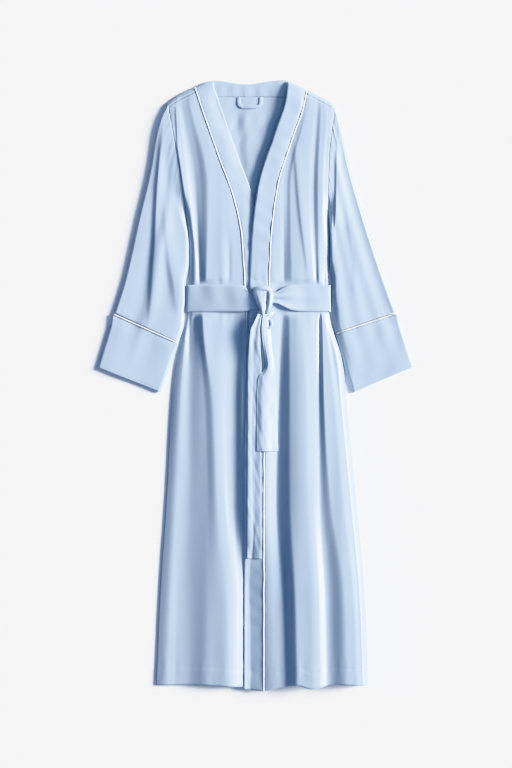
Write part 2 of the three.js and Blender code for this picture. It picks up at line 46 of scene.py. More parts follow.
IMAGE_HEIGHT_PX = 768
LENS_MM, SENSOR_MM = 85.0, 36.0
PICTURE_CENTRE_MM = (1.0, 2.0)

camera_data = bpy.data.cameras.new("camera")
camera_data.lens = LENS_MM
camera_data.sensor_width = SENSOR_MM
camera_data.clip_end = 50.0
camera = bpy.data.objects.new("camera", camera_data)
camera_height = IMAGE_HEIGHT_PX * MM_PER_PIXEL * MM * LENS_MM / SENSOR_MM
camera.location = (PICTURE_CENTRE_MM[0] * MM, PICTURE_CENTRE_MM[1] * MM, camera_height)
bpy.context.scene.collection.objects.link(camera)
bpy.context.scene.camera = camera
bpy.context.scene.view_settings.view_transform = "Khronos PBR Neutral"


def node(tree, kind, inputs=None, **settings):
    """Adds one shader node: settings go on the node, and each input is a value or another node's output."""
    made = tree.nodes.new(kind)
    for name, value in settings.items():
        setattr(made, name, value)
    for name, value in (inputs or {}).items():
        if isinstance(value, bpy.types.NodeSocket):
            tree.links.new(value, made.inputs[name])
        else:
            made.inputs[name].default_value = value
    return made


def new_material(name):
    """An empty node material and its tree, with the output in place."""
    made = bpy.data.materials.new(name)
    made.use_nodes = True
    made.node_tree.nodes.clear()
    return made, made.node_tree, made.node_tree.nodes.new("ShaderNodeOutputMaterial")


KEY_ELEVATION, KEY_AZIMUTH, KEY_SPREAD, KEY_STRENGTH = 21.0, 12.0, 22.0, 10.2
key_data = bpy.data.lights.new("key", "SUN")
key_data.energy = KEY_STRENGTH
key_data.angle = math.radians(KEY_SPREAD)
key_data.color = (1.0, 0.92, 0.785)
key = bpy.data.objects.new("key", key_data)
key.rotation_euler = (0.0, math.radians(90 - KEY_ELEVATION), math.radians(KEY_AZIMUTH))
bpy.context.scene.collection.objects.link(key)

# Half of the room is pale, from a little past overhead round to +X, and it falls off softly to a dim
# blue far side.
ROOM_DIM, ROOM_BRIGHT = (0.015, 0.04, 0.12), (0.36, 0.48, 0.7)
room = bpy.data.worlds.new("room")
room.use_nodes = True
tree = room.node_tree
way = node(tree, "ShaderNodeTexCoord")
parts = node(tree, "ShaderNodeSeparateXYZ", {"Vector": way.outputs["Generated"]})
glow = node(tree, "ShaderNodeMapRange",
            {"Value": parts.outputs["X"], "From Min": -0.7, "From Max": 0.1}, interpolation_type="SMOOTHSTEP")
wall_paint = node(tree, "ShaderNodeMix", data_type="RGBA")
tree.links.new(glow.outputs[0], wall_paint.inputs["Factor"])
wall_paint.inputs[6].default_value = (*ROOM_DIM, 1.0)
wall_paint.inputs[7].default_value = (*ROOM_BRIGHT, 1.0)
tree.links.new(wall_paint.outputs[2], tree.nodes["Background"].inputs["Color"])
bpy.context.scene.world = room

# Matt white painted board
FLOOR_SIZE_M, FLOOR_DROP_M = 9.0, 0.0003
floor_mesh = bpy.data.meshes.new("floor")
half_floor = FLOOR_SIZE_M / 2
floor_mesh.from_pydata(
    [(x, y, -FLOOR_DROP_M) for x, y in ((-half_floor, -half_floor), (half_floor, -half_floor),
                                  (half_floor, half_floor), (-half_floor, half_floor))],
    [], [(0, 1, 2, 3)])
floor = bpy.data.objects.new("floor", floor_mesh)
bpy.context.scene.collection.objects.link(floor)
board, tree, out = new_material("white_board")
grain = node(tree, "ShaderNodeTexNoise", {"Scale": 40.0, "Detail": 3.0})
tint = node(tree, "ShaderNodeMapRange", {"Value": grain.outputs["Fac"], "To Min": 0.93, "To Max": 0.95})
tone = node(tree, "ShaderNodeCombineColor",
            {"Red": tint.outputs[0], "Green": tint.outputs[0], "Blue": tint.outputs[0]})
paint = node(tree, "ShaderNodeBsdfPrincipled",
             {"Base Color": tone.outputs[0], "Roughness": 0.9, "Specular IOR Level": 0.1})
tree.links.new(paint.outputs[0], out.inputs["Surface"])
floor_mesh.materials.append(board)


# Back
# One panel of satin from the hem to the neck seam, flat on the floor. At each shoulder it rolls
# over the edge to the shoulder seam, a little way down the front. Behind the neck its inside face
# shows, in soft folds.
WALL = 1.2
BELT_WALL = 1.6
SEAM_GAP = 0.35
WAIST_Y = 184.0
BELT_WIDTH = 57.0
NECK_SEAM_Y = 613.0
BELT_LIFT = BELT_WALL + SEAM_GAP
SHOULDER_ROLL = 11.0
SHELL = 0.6


def blend(a, b, t):
    """a at t = 0 and b at t = 1, in a straight line."""
    return a + (b - a) * t


def smooth(a, b, x):
    """0 before a, 1 after b, and 3tt - 2ttt between, where t is the share of the way."""
    t = np.clip((x - a) / (b - a), 0.0, 1.0)
    return t * t * (3.0 - 2.0 * t)


def through(knots, values, at):
    """A cubic through each (knot, value): level at crests and valleys, with the harmonic mean of the
    two rises as its slope elsewhere, so it never overshoots. The knots may differ from point to point."""
    at = np.asarray(at, float)
    shape = at.shape
    at = at.ravel()
    knots = np.asarray(knots, float).reshape(len(knots), -1) + np.zeros(at.size)
    values = np.asarray(values, float).reshape(len(values), -1) + np.zeros(at.size)
    rise = np.diff(values, axis=0) / np.maximum(np.diff(knots, axis=0), 1e-6)
    both = rise[:-1] * rise[1:]
    inner = np.where(both > 0, 2 * both / np.where(both > 0, rise[:-1] + rise[1:], 1.0), 0.0)
    slope = np.concatenate([rise[:1], inner, rise[-1:]])
    k = np.clip((at >= knots[1:]).sum(0), 0, len(knots) - 2)[None]
    pick = lambda table, step=0: np.take_along_axis(table, k + step, 0)[0]
    span = np.maximum(pick(knots, 1) - pick(knots), 1e-6)
    t = np.clip((at - pick(knots)) / span, 0.0, 1.0)
    low = pick(values) * (2 * t**3 - 3 * t**2 + 1) + pick(slope) * span * (t**3 - 2 * t**2 + t)
    high = pick(values, 1) * (3 * t**2 - 2 * t**3) + pick(slope, 1) * span * (t**3 - t**2)
    return (low + high).reshape(shape)


def line(*rows):
    """A smooth line through rows of (along, across), in rising order of the first."""
    along, across = zip(*rows)
    return lambda at: through(along, across, at)


side_right = line((-641, -212), (-457, -204), (-244, -190), (-31, -178), (88, -163), (150, -144),
                  (184, -141), (288, -141), (342, -145), (389, -151), (491, -166), (598, -186))
side_left = line((-641, 240), (-457, 233), (-244, 214), (-31, 193), (30, 188), (70, 181), (108, 169),
                 (150, 157), (184, 154), (300, 158), (378, 154), (470, 155), (598, 170))
shoulder_edge = line((-190, 598), (-164, 617), (-130, 634), (-104, 646), (-88, 649), (-21, 641),
                     (60, 650), (75, 645), (109, 629), (140, 613), (155, 604.5), (163, 598),
                     (170, 589.5), (178, 578))


def soft_waves(x, y, seed, length, spread, count=7):
    """Shallow uneven waves of about unit height: a sum of sines whose crests run down the cloth, each
    with its own length around the one given, its own lean within the spread, and its own phase."""
    draw = np.random.default_rng(seed)
    total = 0.0
    for _ in range(count):
        own = length * draw.uniform(0.6, 1.7)
        lean = draw.uniform(-spread, spread)
        phase = draw.uniform(0, 6.28)
        total = total + np.sin(2 * np.pi * (x * math.cos(lean) + y * math.sin(lean)) / own + phase)
    return total / math.sqrt(count)


def cloth(name, grids, replaced, shell=SHELL, around=False):
    """A piece of cloth from one or more grids of points in millimetres, rows by columns by 3, whose
    rows run up the piece. Where it goes around, each row is closed into a ring. Its UV map is the
    distance across and up in metres. Solidify gives the cloth its thickness on the inner side."""
    points, quads, uvs, start = [], [], [], 0
    for grid in grids:
        rows, columns = grid.shape[:2]
        closed = np.concatenate([grid, grid[:, :1]], 1) if around else grid
        across = np.linalg.norm(np.diff(closed, axis=1), axis=2).cumsum(1)
        across = np.concatenate([np.zeros((rows, 1)), across], 1) * MM
        up = np.linalg.norm(np.diff(grid, axis=0), axis=2).mean(1).cumsum()
        up = np.concatenate([[0.0], up])[:, None] * MM + np.zeros_like(across)
        index = np.arange(rows * columns).reshape(rows, columns) + start
        wide = np.concatenate([index, index[:, :1]], 1) if around else index
        quads.append(np.stack([wide[:-1, :-1], wide[:-1, 1:], wide[1:, 1:], wide[1:, :-1]], -1).reshape(-1, 4))
        corners = lambda field: np.stack([field[:-1, :-1], field[:-1, 1:], field[1:, 1:], field[1:, :-1]], -1)
        uvs.append(np.stack([corners(across), corners(up)], -1).reshape(-1, 2))
        points.append(grid.reshape(-1, 3) * MM)
        start += rows * columns
    points, quads, uvs = np.concatenate(points), np.concatenate(quads), np.concatenate(uvs)
    shown_name = f"{name}_cloth" if name in replaced else name
    mesh = bpy.data.meshes.new(shown_name)
    mesh.vertices.add(len(points))
    mesh.vertices.foreach_set("co", points.ravel())
    mesh.loops.add(quads.size)
    mesh.loops.foreach_set("vertex_index", quads.ravel())
    mesh.polygons.add(len(quads))
    mesh.polygons.foreach_set("loop_start", np.arange(len(quads)) * 4)
    mesh.update(calc_edges=True)
    mesh.uv_layers.new(name="cloth").data.foreach_set("uv", uvs.ravel())
    mesh.shade_smooth()
    piece = bpy.data.objects.new(shown_name, mesh)
    bpy.context.scene.collection.objects.link(piece)
    if shell:
        thick = piece.modifiers.new("thickness", "SOLIDIFY")
        thick.thickness = shell * MM
        thick.offset = -1.0
    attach(piece, "root")
    if replaced:
        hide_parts(*replaced)
    return piece


def linear(hex_colour):
    """sRGB hex to linear RGBA: a channel is divided by 12.92 up to 0.04045, and above that it is
    ((c + 0.055) / 1.055) to the power of 2.4."""
    channels = [int(hex_colour[k:k + 2], 16) / 255 for k in (0, 2, 4)]
    return (*(c / 12.92 if c <= 0.04045 else ((c + 0.055) / 1.055) ** 2.4 for c in channels), 1.0)


# Polyester charmeuse, woven with long floats: a soft broad sheen, with faint slubs that run up the cloth
def satin_material(name, colour, deep, sheen_roughness):
    """Base colour drifts between two blues over a hand's width. Fine slubs along the UV's length
    break up the gloss and raise a very low bump."""
    made, tree, out = new_material(name)
    uv = node(tree, "ShaderNodeUVMap", uv_map="cloth")
    where = node(tree, "ShaderNodeTexCoord")
    drift = node(tree, "ShaderNodeTexNoise", {"Vector": where.outputs["Object"], "Scale": 7.0, "Detail": 2.0})
    shade = node(tree, "ShaderNodeMapRange",
                 {"Value": drift.outputs["Fac"], "From Min": 0.35, "From Max": 0.65})
    hue = node(tree, "ShaderNodeMix", data_type="RGBA")
    tree.links.new(shade.outputs[0], hue.inputs["Factor"])
    hue.inputs[6].default_value = linear(deep)
    hue.inputs[7].default_value = linear(colour)
    # Slubs are drawn 1.6 mm wide and 40 mm long, coarser than the yarn, so that they show.
    stretched = node(tree, "ShaderNodeMapping", {"Vector": uv.outputs[0], "Scale": (1 / 0.0016, 1 / 0.04, 1.0)})
    slubs = node(tree, "ShaderNodeTexNoise", {"Vector": stretched.outputs[0], "Scale": 1.0, "Detail": 3.0})
    gloss = node(tree, "ShaderNodeMapRange",
                 {"Value": slubs.outputs["Fac"], "From Min": 0.3, "From Max": 0.7,
                  "To Min": sheen_roughness - 0.05, "To Max": sheen_roughness + 0.05})
    relief = node(tree, "ShaderNodeBump",
                  {"Height": slubs.outputs["Fac"], "Distance": 0.00006, "Strength": 0.6})
    cloth_shader = node(tree, "ShaderNodeBsdfPrincipled",
                        {"Base Color": hue.outputs[2], "Roughness": gloss.outputs[0],
                         "Normal": relief.outputs[0], "Specular IOR Level": 1.0, "IOR": 1.7,
                         "Sheen Weight": 0.4, "Sheen Roughness": 0.5, "Sheen Tint": linear("F4F8FC")})
    tree.links.new(cloth_shader.outputs[0], out.inputs["Surface"])
    return made


satin = satin_material("satin_charmeuse", "AFC1D3", "A9BCD0", 0.5)

belt_half = BELT_WIDTH / 2
from_waist = lambda y: np.abs(y - WAIST_Y)
back_lift = lambda y: BELT_LIFT * (1 - smooth(belt_half + 3, belt_half + 14, from_waist(y)))
NECK_FOLDS = dict(
    # crest or valley: x at the neck seam, x at the point of the V, height
    right_foot=(-90, -60, 1.4), right_ridge=(-64, -48, 2.6), hollow=(-40, -30, 1.3), lip=(-34, -26, 1.9),
    ridge=(-18, -14, 3.6), left_hollow=(40, 6, 1.8), left_ridge=(58, 14, 2.4), left_foot=(84, 34, 1.4))


def back_height(x, y):
    """The panel's upper face: its thickness, the step over the belt, and the soft folds behind the neck."""
    down = smooth(NECK_SEAM_Y, 400, y)
    knots = [blend(seam, point, down) for seam, point, _ in NECK_FOLDS.values()]
    folds = through(knots, [height for *_, height in NECK_FOLDS.values()], x) - 1.4
    fading = 0.35 + 0.65 * smooth(NECK_SEAM_Y, 560, y)
    shown = smooth(330, 430, y) * fading * smooth(130, 90, np.abs(x + 8))
    return WALL + back_lift(y) + folds * shown + 0.25 * shown * soft_waves(x, y, 5, 26, 0.5)


def share_grid(rows, columns):
    """Shares of the way up and across, from 0 to 1, as two grids."""
    return np.meshgrid(np.linspace(0, 1, rows), np.linspace(0, 1, columns), indexing="ij")


neck_seam = lambda x: blend(NECK_SEAM_Y, shoulder_edge(x) - SHOULDER_ROLL / 2,
                            np.maximum(smooth(-104, -132, x), smooth(80, 108, x)))
BACK_HEM_Y, SIDE_INSET, SHOULDER_INSET = -636.0, 1.0, 4.0
up, across = share_grid(230, 110)
y = np.zeros_like(up)
for _ in range(5):
    x = blend(side_right(y) + SIDE_INSET, side_left(y) - SIDE_INSET, across)
    y = blend(BACK_HEM_Y, np.minimum(neck_seam(x), shoulder_edge(x) - SHOULDER_INSET), up)
back_grid = np.stack([x, y, back_height(x, y)], -1)


# Fronts
# Two panels of satin from the shoulder seams to the hem. The left one lies over the right one. Their
# fullness is caught under the belt and falls in soft uneven folds, turned down along the side seams.
SIDE_TOP = WALL + SEAM_GAP + WALL
UNDERARM_Y = 350.0
ARMHOLE_TOP, ARMHOLE_MIDDLE = 8.5, 11.2
PUCKER_PITCH = 11.0
seam_right = line((-650, 6), (-300, 0), (-31, -12), (154, -20), (321, -30), (399, -47), (487, -79), (634, -130))
seam_left = line((-650, 17), (-159, 18), (154, 27), (301, 32), (418, 46), (543, 85), (603, 105), (640, 110))
hem_right = line((-214, -639), (-120, -637), (-20, -641), (50, -641))
hem_left = line((-24, -646), (14, -650), (40, -645), (90, -636), (116, -643), (170, -634), (241, -637))
LEVEL_Y = (-645, -457, -244, -31, 150, 218, 416, 598)
RIGHT_FOLDS = {
    # fold: x at hem, calf, knee, thigh, belt's foot, belt's head, bust and shoulder, then its heights there
    "side_ridge": ((-172, -168, -166, -160, -142, -125, -144, -165), (6.8, 6.8, 7, 8.2, 8.2, 9.6, 10, 9)),
    "side_valley": ((-146, -145, -144, -144, -130, -119, -131, -158), (8.6, 8.4, 7.4, 7, 4.4, 5.6, 8, 8.6)),
    "flank": ((-99, -100, -103, -110, -123, -114, -118, -148), (17.4, 16.6, 14, 12, 8, 8.4, 10, 9.2)),
    "front_ridge": ((-56, -62, -80, -91, -111, -104, -99, -138),
                    (21.6, 20.8, 17.8, 16.2, 14.6, 12.8, 13.6, 10.2)),
    "ridge_back": ((-47, -51, -66, -76, -88, -76, -74, -130), (20.4, 19.6, 16.8, 15, 13.4, 12.6, 13, 10.2)),
    "crease": ((-40, -40, -57, -61, -56, -56, -64, -122), (17.8, 17, 14, 13, 11.6, 11.6, 12.4, 10)),
    "rise": ((-34, -34, -43, -43, -36, -46, -58, -116), (14.6, 14, 11.4, 10.8, 11, 11.6, 12.2, 10)),
    "front_foot": ((-14, -14, -24, -26, -20, -20, -36, -104), (6.4, 6.4, 17.4, 16.8, 12, 10.5, 11, 9.6)),
    "band_edge": ((48, 42, 32, 28, 20, 14, -8, -84), (4.4, 4.4, 5, 5.6, 6, 7, 6.6, 6.6)),
}
LEFT_FOLDS = {
    "band_edge": ((-24, -22, -21, -20, -16, -10, 4, 64), (8, 9, 17.8, 17.6, 14.8, 13.6, 15, 14.4)),
    "band_ridge": ((42, 36, 20, 20, 30, 30, 40, 96), (19.4, 18, 18.8, 17.2, 13.6, 13, 13.6, 12)),
    "valley_lip": ((57, 51, 39, 44, 48, 52, 54, 103), (20, 17.8, 14.4, 12.6, 11.4, 11.4, 12.6, 10)),
    "deep_valley": ((62, 56.5, 45, 50, 57, 60, 60, 106), (20.2, 17.6, 12.6, 10.8, 10, 10, 12, 9.8)),
    "flank": ((90, 86, 75, 74, 74, 67, 66, 109), (33, 31.4, 25.4, 21.2, 14.4, 11.4, 12.2, 10)),
    "tall_ridge": ((118, 117, 108, 106, 92, 79, 75, 112), (34.2, 33, 29, 24, 15.6, 13.6, 13.6, 10.2)),
    "ridge_back": ((136, 134, 122, 118, 112, 100, 90, 117), (33, 31.4, 27, 22.2, 14.4, 13, 13.4, 10.4)),
    "knife_lip": ((146, 142, 131, 130, 132, 124, 111, 124), (29, 27.8, 24.4, 19.8, 12, 11.8, 13.2, 10.4)),
    "knife_valley": ((152, 148, 136.5, 134.5, 136.5, 130, 122, 132),
                     (25.6, 24.8, 22.8, 18.8, 8, 8.8, 12.2, 9.9)),
    "knife_rise": ((196, 190, 160, 146, 141, 135, 134, 140), (33, 31.8, 28.2, 23.8, 12, 10.8, 15, 10.6)),
    "side_ridge": ((212, 206, 182, 164, 146, 141, 142, 150), (33.4, 32, 28.4, 23.8, 11.4, 9.4, 14.8, 10.4)),
    "side_back": ((226, 218, 200, 178, 152, 147, 148, 158), (31, 29.4, 26, 21.4, 9.6, 7.8, 13.6, 9.6)),
}
# Short creases: each row is y, x, height (a trough when negative), and its reach to the right and the left
FRONT_CREASES = {
    "right": (
        ((40, -143, 0, 4, 4), (90, -142, -1.4, 4, 4), (154, -141, -3.4, 3, 4)),
        ((206, -56, -1, 5, 5), (280, -57, -0.9, 6, 6), (330, -58, 0, 7, 7)),
    ),
    "left": (
        ((216, 147, -3.4, 2.4, 2.4), (228, 146.6, -1, 2.4, 2.4), (238, 146.6, 0, 2.4, 2.4)),
        ((224, 112, 0, 16, 5), (256, 110, 0.9, 16, 5), (309, 103, 1.5, 16, 5), (362, 96, 1.6, 15, 5),
         (416, 91, 1.5, 14, 5), (469, 87, 1.2, 12, 5), (530, 82, 0, 10, 5)),
    ),
}
ARMHOLE_CREASES = {
    "right": (
        ((300, -134, 0, 10, 3), (326, -138.4, 1.6, 12, 3), (377, -145, 3, 16, 3.6), (416, -151, 3.2, 17, 4.4),
         (469, -158.4, 2.8, 17, 4.4), (511, -164.6, 2, 15, 3.4), (543, -166.6, 1.4, 12, 2.6),
         (590, -169.6, 0.8, 8, 2)),
    ),
    "left": (
        ((330, 168, 0, 12, 2), (345, 169.4, 2.2, 18, 2.6), (373, 171, 3.4, 24, 3.4),
         (416, 172.6, 3.4, 25, 4.2), (469, 173.4, 2.6, 24, 4.4), (501, 174, 1.6, 20, 4), (560, 176, 0, 12, 3)),
    ),
}
SIDE_ROLL = 13.0
PIPING_RADIUS = 1.6
SEAM_HALF = PIPING_RADIUS + 0.2
BAND_WIDTH = 40.0
OVERLAP_LIFT = 3.8
SHOULDER_SEAM = 12.0
HEM_DEPTH = 36.0
WAIST_CROWN, WAIST_CENTRE_X, WAIST_HALF = 6.0, 6.0, 152.0
# hand is the way from the middle to the side seam: 1 on the wearer's left, at +X, and -1 on the right
RIGHT = dict(
    folds=RIGHT_FOLDS, creases=FRONT_CREASES["right"], armhole=ARMHOLE_CREASES["right"], skirt_roll=26.0,
    side=side_right, seam=seam_right, hem=hem_right, hand=-1, seed=11)
LEFT = dict(
    folds=LEFT_FOLDS, creases=FRONT_CREASES["left"], armhole=ARMHOLE_CREASES["left"], skirt_roll=13.0,
    side=side_left, seam=seam_left, hem=hem_left, hand=1, seed=23)
HEM_ZONE_Y, SHOULDER_ZONE_Y = -560.0, 540.0


def waist_dome(x):
    """The layers under the belt, pressed into a low dome: a flattened half circle across the waist."""
    out = np.minimum(1.0, np.abs((x - WAIST_CENTRE_X) / WAIST_HALF))
    return SIDE_TOP + BELT_LIFT + WAIST_CROWN * np.sqrt(1.0 - out**3)


def band_edge(front, y):
    """The free edge of a front's band, one band's width beyond its piped seam."""
    return front["seam"](y) - front["hand"] * (SEAM_HALF + BAND_WIDTH)


def crease(x, y, rows):
    """One soft ridge or trough along a line: height times exp(-(d/reach) squared), where d is the
    distance to the right or the left of the line. All of it changes smoothly from row to row."""
    along = [row[0] for row in rows]
    middle, height, right, left = (through(along, [row[k] for row in rows], y) for k in (1, 2, 3, 4))
    away = x - middle
    inside = smooth(along[0] - 4, along[0], y) * (1 - smooth(along[-1], along[-1] + 4, y))
    return inside * height * np.exp(-(away / np.where(away > 0, right, left)) ** 2)


def creases(x, y, table):
    """All the creases of a table, added up."""
    return sum(crease(x, y, rows) for rows in table)


def fold_height(front, x, y):
    """Height of the folds alone: a smooth line across through the crests and valleys at this level."""
    knots = [through(LEVEL_Y, places, y.ravel()) for places, _ in front["folds"].values()]
    heights = [through(LEVEL_Y, levels, y.ravel()) for _, levels in front["folds"].values()]
    return through(knots, heights, x)


def front_height(front, x, y):
    """Height of a front's upper face: folds, soft waves, the press of the belt with short gathers on
    both sides of it, the turn down along the side, which is wider on the skirt's right, the turn over
    the shoulder, and the lift over the other front."""
    gap = np.maximum(from_waist(y) - belt_half, 0.0)
    pressed = 1.0 - smooth(0, 15, gap)
    folds = fold_height(front, x, y)
    folds = folds + 0.4 * soft_waves(x, y, front["seed"], 70, 0.06) * (1.0 - pressed)
    folds = folds + creases(x, y, front["creases"])
    gathers = soft_waves(x, y * 0.2, front["seed"] + 2, 22, 0.05)
    height = blend(folds, waist_dome(x), pressed) + 0.35 * gathers * np.exp(-gap / 22.0) * smooth(0, 6, gap)
    if front is LEFT:
        right_edge = band_edge(RIGHT, y)
        crossing = 1.0 - smooth(right_edge, right_edge + 30, x)
        clear = front_height(RIGHT, x, y) + OVERLAP_LIFT
        height = np.maximum(height, blend(height, clear, crossing))
    armhole_top = blend(ARMHOLE_MIDDLE, ARMHOLE_TOP, smooth(500, 580, y))
    side_top = blend(SIDE_TOP + back_lift(y), armhole_top, smooth(UNDERARM_Y, UNDERARM_Y + 70, y))
    roll = blend(front["skirt_roll"], SIDE_ROLL, smooth(20, 130, y))
    inward = np.clip((front["side"](y) - x) * front["hand"] / roll, 0, 1)
    height = blend(side_top, height, np.sin(np.pi / 2 * inward)) + creases(x, y, front["armhole"])
    down = shoulder_edge(x) - y
    height = blend(height, ARMHOLE_TOP, 0.7 * (1 - smooth(0, 34, down)))
    return blend(SIDE_TOP, height, np.sqrt(1 - (1 - np.clip(down / SHOULDER_ROLL, 0, 1)) ** 2))


def seam_dip(away, along, seed):
    """How far cloth dips beside a seam: a groove about 3 mm wide, with short puckers that fade."""
    pucker = 0.5 + 0.5 * soft_waves(along, away * 0.0, seed, PUCKER_PITCH, 0.2)
    away = np.abs(away)
    return 0.4 * np.exp(-(away / 1.6) ** 2) + 0.3 * pucker * np.exp(-away / 7.0)


def levelled(level, hem, top):
    """Opens the even levels out to the real hem below and the real shoulder above."""
    low = blend(HEM_ZONE_Y, hem, (HEM_ZONE_Y - level) / (HEM_ZONE_Y + 650))
    high = blend(SHOULDER_ZONE_Y, top, (level - SHOULDER_ZONE_Y) / (650 - SHOULDER_ZONE_Y))
    return np.where(level < HEM_ZONE_Y, low, np.where(level > SHOULDER_ZONE_Y, high, level))


def panel(rows, columns, x_at, hem, top, height):
    """A grid of a panel: x is a share of the way between its two edges at that level, and y is the
    level, fitted to the hem and the shoulder at that x."""
    level, share = np.meshgrid(np.linspace(-650, 650, rows), np.linspace(0, 1, columns), indexing="ij")
    y = level
    for _ in range(6):
        x = x_at(y, share)
        y = levelled(level, hem(x), top(x))
    return np.stack([x, y, height(x, y)], -1)


def hem_dip(front, x, y):
    """The stitched hem: a groove at the top of the turned-up hem, a thicker edge below it, and short
    uneven puckers that the stitching draws up on both sides of it."""
    above = y - (front["hem"](x) + HEM_DEPTH)
    puckers = 0.12 * soft_waves(x, y * 0.3, front["seed"] + 8, 24, 0.25) * np.exp(-(above / 16.0) ** 2)
    return 0.5 * np.exp(-(above / 1.5) ** 2) - 0.35 * smooth(1.5, -1.5, above) + puckers


def front_panel_height(front):
    def height(x, y):
        beside = np.abs(x - front["seam"](y)) - SEAM_HALF
        z = front_height(front, x, y) - seam_dip(beside, y, front["seed"] + 3) - hem_dip(front, x, y)
        return z - 0.3 * seam_dip(shoulder_edge(x) - SHOULDER_SEAM - y, x, front["seed"] + 4)
    return height


PANEL_ROWS, FRONT_COLUMNS = 330, 120
shoulder_seam = lambda x: shoulder_edge(x) - SHOULDER_SEAM
for name, front, flat, area in (
        ("front_left", LEFT, (0.25, 1.28), 0.213), ("front_right", RIGHT, (0.225, 1.26), 0.199)):
    def x_at(y, share, front=front):
        seam = front["seam"](y) + front["hand"] * SEAM_HALF
        low, high = (seam, front["side"](y)) if front["hand"] > 0 else (front["side"](y), seam)
        return blend(low, high, share)
    grid = panel(PANEL_ROWS, FRONT_COLUMNS, x_at, front["hem"], shoulder_seam, front_panel_height(front))
    piece = cloth(name, [grid], [name])
    piece.data.materials.append(satin)

# The back's own rolls over the shoulders, which meet the fronts at the shoulder seams
ROLL_SPAN = {"right": (-188.0, -130.0), "left": (111.0, 168.5)}
roll_grids = []
for hand, front in (("right", RIGHT), ("left", LEFT)):
    low_x, high_x = ROLL_SPAN[hand]
    up, across = share_grid(24, 60)
    x = blend(low_x, high_x, across)
    y = shoulder_edge(x) - blend(SHOULDER_SEAM - 0.1, 0.0, np.sin(np.pi / 2 * up))
    z = front_height(front, x, y) - seam_dip(shoulder_edge(x) - SHOULDER_SEAM - y, x, front["seed"] + 4)
    roll_grids.append(np.stack([x, y, z], -1))
back = cloth("back", [back_grid] + roll_grids, ["back"])
back.data.materials.append(satin)


# Front bands
# A doubled strip of the same satin down the edge of each front, from the hem to the shoulder. It is
# caught in the piped seam on one side, and its other side is a pressed fold.
DOUBLED = 1.3
BAND_COLUMNS = 26
# How far the pressed fold curves down, in mm, by the front's hand
EDGE_DROP = {1: 1.5, -1: 0.4}


def band_height(front):
    def height(x, y):
        beside = np.abs(x - front["seam"](y)) - SEAM_HALF
        from_edge = np.abs(x - band_edge(front, y))
        z = front_height(front, x, y) - seam_dip(beside, y, front["seed"] + 5) - hem_dip(front, x, y)
        crossways = soft_waves(y, x, front["seed"] + 6, 46, 0.7)
        drop = EDGE_DROP[front["hand"]] * (1 - np.sin(np.pi / 2 * np.clip(from_edge / 3.0, 0, 1)))
        return z + 0.3 * crossways - drop
    return height


for name, front in (("band_left", LEFT), ("band_right", RIGHT)):
    def x_at(y, share, front=front):
        near, free = front["seam"](y) - front["hand"] * SEAM_HALF, band_edge(front, y)
        return blend(free, near, share) if front["hand"] > 0 else blend(near, free, share)
    top = lambda x: shoulder_edge(x) - SEAM_GAP
    grid = panel(PANEL_ROWS, BAND_COLUMNS, x_at, front["hem"], top, band_height(front))
    piece = cloth(name, [grid], [name], shell=DOUBLED)
    piece.data.materials.append(satin)


# Neck band
# The same doubled strip where it goes round behind the neck, lying flat above the neck seam.
NECK_BAND_SPAN, NECK_BAND_WALL = (-98.0, 76.0), 0.9
up, across = share_grid(22, 90)
x = blend(*NECK_BAND_SPAN, across)
y = blend(NECK_SEAM_Y + SEAM_GAP, shoulder_edge(x) - SEAM_GAP, up)
z = 1.9 + 0.25 * soft_waves(x, y, 31, 40, 0.6) - seam_dip(y - NECK_SEAM_Y, x, 32) * 0.8
z = np.maximum(z - 0.9 * (1 - np.sin(np.pi / 2 * np.clip((1 - up) * 12, 0, 1))), 1.0)
neck_band = cloth("band_neck", [np.stack([x, y, z], -1)], ["band_neck"], shell=NECK_BAND_WALL)
neck_band.data.materials.append(satin)


# Piping
# A thin cord wrapped in white satin cut on the bias, sewn into each front seam and each cuff seam.
def white_satin():
    """Woven polyester satin, cut on the bias and drawn over the cord: a dull white with faint lines."""
    made, tree, out = new_material("white_bias_satin")
    uv = node(tree, "ShaderNodeUVMap", uv_map="cloth")
    # The bias shows as faint slanting lines, 1.2 mm apart.
    turned = node(tree, "ShaderNodeMapping", {"Vector": uv.outputs[0], "Rotation": (0, 0, 0.78),
                                              "Scale": (1 / 0.0012, 1 / 0.0012, 1.0)})
    lines = node(tree, "ShaderNodeTexWave", {"Vector": turned.outputs[0], "Scale": 0.3, "Distortion": 0.6})
    relief = node(tree, "ShaderNodeBump",
                  {"Height": lines.outputs["Fac"], "Distance": 0.00006, "Strength": 0.5})
    shader = node(tree, "ShaderNodeBsdfPrincipled",
                  {"Base Color": linear("DCE1E7"), "Roughness": 0.6, "Normal": relief.outputs[0],
                   "Sheen Weight": 0.2})
    tree.links.new(shader.outputs[0], out.inputs["Surface"])
    return made


piping_satin = white_satin()


def cord_grid(path, radius, sides=10, ring=False):
    """Rows of points round a path: each is the path's point plus the radius times a direction across
    it, turned evenly about the path's own direction."""
    if ring:
        along = np.roll(path, -1, 0) - np.roll(path, 1, 0)
    else:
        along = np.gradient(path, axis=0)
    along /= np.linalg.norm(along, axis=1, keepdims=True)
    across = np.cross([0.0, 0.0, 1.0], along)
    flat = np.linalg.norm(across, axis=1, keepdims=True)
    across = np.where(flat > 0.2, across / np.maximum(flat, 1e-6), [1.0, 0.0, 0.0])
    lift = np.cross(along, across)
    turn = np.linspace(0, 2 * np.pi, sides, endpoint=False)[None, :, None]
    grid = path[:, None] + radius * (np.cos(turn) * across[:, None] + np.sin(turn) * lift[:, None])
    return np.concatenate([grid, grid[:1]]) if ring else grid


